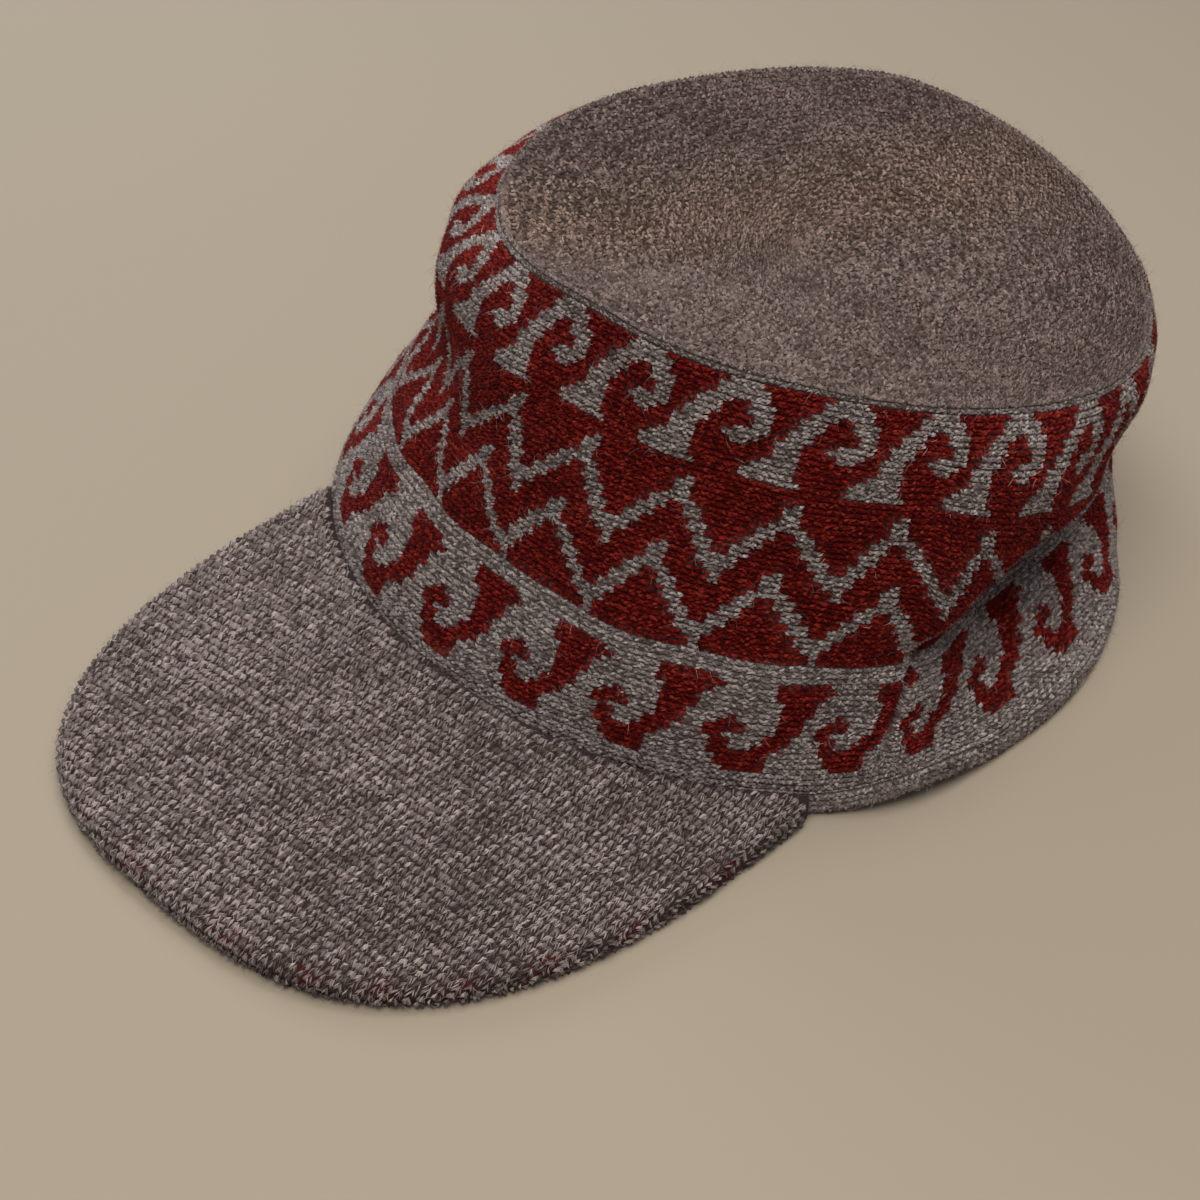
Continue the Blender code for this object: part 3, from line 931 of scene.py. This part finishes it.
def loose_fibres(name, laid, colours, count):
    """Short thin fibres that lie over the knit, a share of them standing off it."""
    chosen = DRAWS.integers(0, len(colours), count)
    spot, out = laid.spots[chosen, STRAND_MIDDLE], unit(laid.outs[chosen, STRAND_MIDDLE])
    leans = np.abs(out[:, 2:3]) < NEARLY_UP
    side = unit(np.cross(out, np.where(leans, (0.0, 0.0, 1.0), (1.0, 0.0, 0.0))))
    other = np.cross(out, side)
    turn = DRAWS.random(count) * 2 * math.pi
    bend = DRAWS.normal(0.0, FIBRE_BEND, count)
    length = FIBRE_LENGTH * (0.5 + DRAWS.random(count))
    stands = DRAWS.random(count) < FIBRES_UP
    lift = np.where(stands, UP_LIFT[0] + UP_LIFT[1] * DRAWS.random(count),
                    FLAT_LIFT * DRAWS.random(count))
    ways = [side * np.cos(a)[:, None] + other * np.sin(a)[:, None] for a in (turn, turn + bend)]
    aside = side * DRAWS.normal(0, 1, (count, 1)) + other * DRAWS.normal(0, 1, (count, 1))
    first = spot + out * FIBRE_START + aside * FIBRE_SCATTER
    half_length = (length * 0.5)[:, None]
    second = first + (ways[0] + out * (lift + FIBRE_ARCH)[:, None]) * half_length
    third = second + (ways[1] + out * (lift - FIBRE_ARCH)[:, None]) * half_length
    roll = DRAWS.random(count) * math.pi
    wide = np.cross(ways[0], out) * np.cos(roll)[:, None] + out * np.sin(roll)[:, None]
    half = wide * FIBRE_WIDTH / 2
    points = np.stack((first - half, first + half, second + half, second - half, third), axis=1)
    corners = (np.array((0, 1, 2, 3, 3, 2, 4)) + np.arange(count)[:, None] * 5).ravel()
    light = np.where(DRAWS.random(count) < FIBRES_BRIGHT, *FIBRE_LIGHT)
    light *= 1.0 + FIBRE_LIGHT_SPREAD * DRAWS.normal(0, 1, count)
    colour = np.repeat(colours[chosen] * light[:, None], 5, axis=0)
    return add_piece(name, FIBRE_WOOL, above_floor(points).reshape(-1, 3), corners,
                     np.tile((4, 3), count), colour)


def knitted(name, laid, colours, kind, fibres, inward=False):
    """The stitches of one knit and the loose fibres over them, as two pieces."""
    return [stitches(f"{name}_stitches", laid, colours, kind.depth, inward),
            loose_fibres(f"{name}_fibres", laid, colours, fibres)]


def grid_faces(columns, rows, loops):
    """Quads of a grid, closed round its columns if it loops."""
    last = columns if loops else columns - 1
    i, j = np.meshgrid(np.arange(last), np.arange(rows - 1), indexing="ij")
    a, b = i * rows + j, (i + 1) % columns * rows + j
    return np.stack((a, b, b + 1, a + 1), axis=-1).reshape(-1, 4)


def backing(name, outer, inner, colours, loops):
    """Closed body under the stitches, from its outer and inner grids of points."""
    columns, rows = outer.shape[:2]
    count = columns * rows
    quads = grid_faces(columns, rows, loops)
    faces = [quads, quads[:, ::-1] + count]
    i, j = np.arange(columns if loops else columns - 1), np.arange(rows - 1)
    after = (i + 1) % columns
    sides = [(i * rows, after * rows, False), (i * rows + rows - 1, after * rows + rows - 1, True)]
    if not loops:
        sides += [(j, j + 1, True), (count - rows + j, count - rows + j + 1, False)]
    for a, b, flip in sides:
        ring = np.stack((a, a + count, b + count, b), axis=1)
        faces.append(ring[:, ::-1] if flip else ring)
    faces = np.concatenate(faces)
    points = np.concatenate((outer.reshape(-1, 3), inner.reshape(-1, 3)))
    colour = np.tile(np.broadcast_to(colours, outer.shape).reshape(-1, 3), (2, 1))
    places = np.column_stack((np.repeat(np.arange(columns), rows), np.tile(np.arange(rows), columns)))
    return add_piece(name, BACKING_WOOL, points, faces.ravel(), np.full(len(faces), 4),
                     colour, [("Yarn", np.tile(places, (2, 1)))])


def build_tube():
    """The jacquard tube: its backing, its stitches in parts round the cap, its fibres."""
    tube = make_tube_sheet()
    wales, rows = stitch_places(range(WALES), range(int(FOOT_ROW), int(TOP_ROW + EDGE_ROWS) + 1))
    spots, _ = tube.at(wales + 0.5, rows + 0.5)
    kept = rows >= foot_row(azimuths_of(spots)) - FOOT_OVERLAP
    wales, rows = wales[kept], rows[kept]
    in_red = np.array([charted(wale, row) for wale, row in zip(wales, rows)])
    strands = 2 * TUBE_KNIT.count  # of one stitch
    pieces, parts = [], []
    for part in range(TUBE_PARTS):
        here = (wales * TUBE_PARTS // WALES) == part
        laid = lay_strands(tube, wales[here], rows[here], TUBE_KNIT)
        colours = heathered_and_leg_lit(GREY_YARN, laid, TUBE_KNIT.patch, np.tile(in_red[here], strands))
        colours[np.tile(rows[here] >= TOP_ROW, strands)] *= EDGE_SHADE
        pieces.append(stitches(f"crown_side_stitches_{part + 1}", laid, colours, TUBE_KNIT.depth))
        parts.append((*laid, colours))
    *laid, colours = (np.concatenate(x) for x in zip(*parts))
    pieces.append(loose_fibres("crown_side_fibres", Laid(*laid), colours, TUBE_FIBRES))

    around = np.arange(0.0, WALES)
    spots, _ = tube.at(around, np.full(WALES, FOOT_ROW))
    lowest = foot_row(azimuths_of(spots))[:, None]
    u, v = np.meshgrid(around, np.linspace(0.0, 1.0, TUBE_BACKING_ROWS), indexing="ij")
    v = lowest + v * (TOP_ROW + EDGE_ROWS - lowest)
    spots, outs = tube.at(u, v)
    behind_red = np.array([charted(*x) for x in zip(u.ravel(), v.ravel())]).reshape(*u.shape, 1)
    colours = np.where(behind_red, RED_YARN[0], GREY_YARN[0]) * UNDER_SHADE
    outer, inner = (spots - outs * depth for depth in TUBE_BACKING)
    body = backing("crown_side_backing", outer, inner, colours, True)
    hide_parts("crown_side")
    return body, pieces


def build_hem():
    """The knitted edging round the bottom."""
    hem = make_hem_sheet()
    laid = lay_strands(hem, *stitch_places(range(WALES), range(HEM_ROWS)), HEM_KNIT)
    colours = heathered_and_leg_lit(GREY_YARN, laid, HEM_KNIT.patch)
    pieces = knitted("band_hem", laid, colours, HEM_KNIT, HEM_FIBRES)
    levels = np.linspace(0.0, HEM_ROWS, 2 * HEM_ROWS + 1)
    spots, outs = hem.at(*np.meshgrid(np.arange(0.0, WALES), levels, indexing="ij"))
    inward = unit((spots - MIDDLE) * np.array((1.0, 1.0, 0.0)))
    body = backing("band_hem_backing", spots - outs * HEM_BACKING[0], spots - inward * HEM_BACKING[1],
                   GREY_YARN[0] * UNDER_SHADE, True)
    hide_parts("band_hem")
    return body, pieces


def build_disc():
    """The top: rings of stitches, fewer in each ring towards the middle."""
    disc = make_disc_sheet()
    rings = [max(SECTORS, round(WALES / SECTORS * (1.0 - row / DISC_ROWS)) * SECTORS)
             for row in range(DISC_ROWS)]
    numbers = np.concatenate([np.arange(count) for count in rings])
    squeeze = WALES / np.repeat(rings, rings)
    wales = (numbers + 0.5) * squeeze - 0.5
    rows = np.repeat(np.arange(DISC_ROWS, dtype=float), rings)
    laid = lay_strands(disc, wales, rows, DISC_KNIT, squeeze[:, None], numbers)
    colours = heathered_and_leg_lit(SHADED_TOP_YARN, laid, DISC_KNIT.patch)
    # Painted light on the lit side of the top's valley, and painted shade beyond it
    off_line = off_valley(laid.spots[:, STRAND_MIDDLE] - MIDDLE)
    valley_light = np.exp(-((off_line - VALLEY_LIT_AT) / VALLEY_LIT_WIDTH) ** 2)
    shaded = np.clip((SHADED_FROM - off_line) / VALLEY_LIT_WIDTH, 0.0, 1.0)
    colours *= 1.0 + valley_light[:, None] * VALLEY_LIGHT_TINT - SHADED_BY * shaded[:, None]
    pieces = knitted("crown_top", laid, colours, DISC_KNIT, DISC_FIBRES)
    levels = np.linspace(0.0, DISC_BACKING_END, DISC_BACKING_ROWS)
    spots, outs = disc.at(*np.meshgrid(np.arange(0.0, WALES, 2.0), levels, indexing="ij"))
    outer, inner = (spots - outs * depth for depth in DISC_BACKING)
    body = backing("crown_top_backing", outer, inner, SHADED_TOP_YARN[0] * TOP_UNDER_SHADE, True)
    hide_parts("crown_top")
    return body, pieces


def build_visor():
    """The visor: a knitted cover in two faces over its pad."""
    for title, place, up, roll_turn, kind, fibres in (
            ("upper", 0, 1.0, UPPER_TURN, UPPER_KNIT, UPPER_FIBRES),
            ("under", 1, -1.0, UNDER_TURN, UNDER_KNIT, UNDER_FIBRES)):
        faces = visor_faces(roll_turn)
        face = LaidFlat(faces[2] + MIDDLE[:2], faces[place] + MIDDLE, up)
        reach = range(-VISOR_REACH, VISOR_REACH)
        wales, rows = stitch_places(reach, reach)
        spots, _ = face.at(wales + 0.5, rows + 0.5)
        there = ~np.isnan(spots[:, 0])
        laid = lay_strands(face, wales[there], rows[there], kind)
        colours = heathered_and_leg_lit(SHADED_VISOR_YARN, laid, kind.patch)
        knitted(f"visor_{title}", laid, colours, kind, fibres, up < 0)
    upper, lower, _ = visor_faces(PAD_TURN, VISOR_INSET)
    upper, lower = upper[::2] + MIDDLE, lower[::2] + MIDDLE
    column, step = np.indices(upper.shape[:2])
    flecked = (step >= VISOR_STEPS) & (column % FLECK_EVERY == 0)
    # Painted shade in the holes over the pad, with red flecks of yarn at its edge
    colours = np.where(flecked[..., None], FLECK_COLOUR, PAD_HOLE_SHADE)
    pad = backing("visor_pad", upper, lower, colours, False)
    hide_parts("visor")
    return pad


def heading(azimuth, elevation):
    """Way from the cap to a place seen at this azimuth and elevation; 0 looks along +Y."""
    a, e = math.radians(azimuth), math.radians(elevation)
    return Vector((math.sin(a) * math.cos(e), -math.cos(a) * math.cos(e), math.sin(e)))


tube_backing, tube_pieces = build_tube()
hem_backing, hem_pieces = build_hem()
disc_backing, disc_pieces = build_disc()
visor_pad = build_visor()

# Floor and light
scene = bpy.context.scene
scene.view_settings.view_transform = "Standard"

floor_mesh = bpy.data.meshes.new("floor")
floor_corners = [(x * FLOOR_REACH, y * FLOOR_REACH, 0.0) for x, y in ((-1, -1), (1, -1), (1, 1), (-1, 1))]
floor_mesh.from_pydata(floor_corners, [], [(0, 1, 2, 3)])
floor_paper, floor_shader = new_material("floor_paper", 0.9, 0.1)
floor_shader.inputs["Base Color"].default_value = (*FLOOR_COLOUR, 1.0)
floor_mesh.materials.append(floor_paper)
floor = bpy.data.objects.new("floor", floor_mesh)
scene.collection.objects.link(floor)

world = bpy.data.worlds.new("studio")
world.use_nodes = True
world.node_tree.nodes["Background"].inputs["Color"].default_value = WORLD_COLOUR
world.node_tree.nodes["Background"].inputs["Strength"].default_value = WORLD_STRENGTH
scene.world = world

for name, azimuth, elevation, distance, size, power, colour in LAMPS:
    lamp = bpy.data.lights.new(name, "AREA")
    lamp.shape = "DISK"
    lamp.size, lamp.energy, lamp.color = size, power, colour
    item = bpy.data.objects.new(name, lamp)
    away = heading(azimuth, elevation)
    item.location = away * distance + LAMPS_AIM
    item.rotation_euler = away.to_track_quat("Z", "Y").to_euler()
    scene.collection.objects.link(item)

camera_data = bpy.data.cameras.new("camera")
camera_data.lens, camera_data.sensor_width = CAMERA_LENS, CAMERA_SENSOR
camera_data.clip_start, camera_data.clip_end = CAMERA_CLIP
camera = bpy.data.objects.new("camera", camera_data)
back = heading(CAMERA_AZIMUTH, CAMERA_ELEVATION)
turn = math.radians(CAMERA_AZIMUTH)
level = Vector((math.cos(turn), math.sin(turn), 0.0))
upright = back.cross(level)
roll = math.radians(CAMERA_ROLL)
right = level * math.cos(roll) + upright * math.sin(roll)
up = upright * math.cos(roll) - level * math.sin(roll)
camera.matrix_world = Matrix((
    (right.x, up.x, back.x, CAMERA_PLACE[0]),
    (right.y, up.y, back.y, CAMERA_PLACE[1]),
    (right.z, up.z, back.z, CAMERA_PLACE[2]),
    (0.0, 0.0, 0.0, 1.0)))
scene.collection.objects.link(camera)
scene.camera = camera
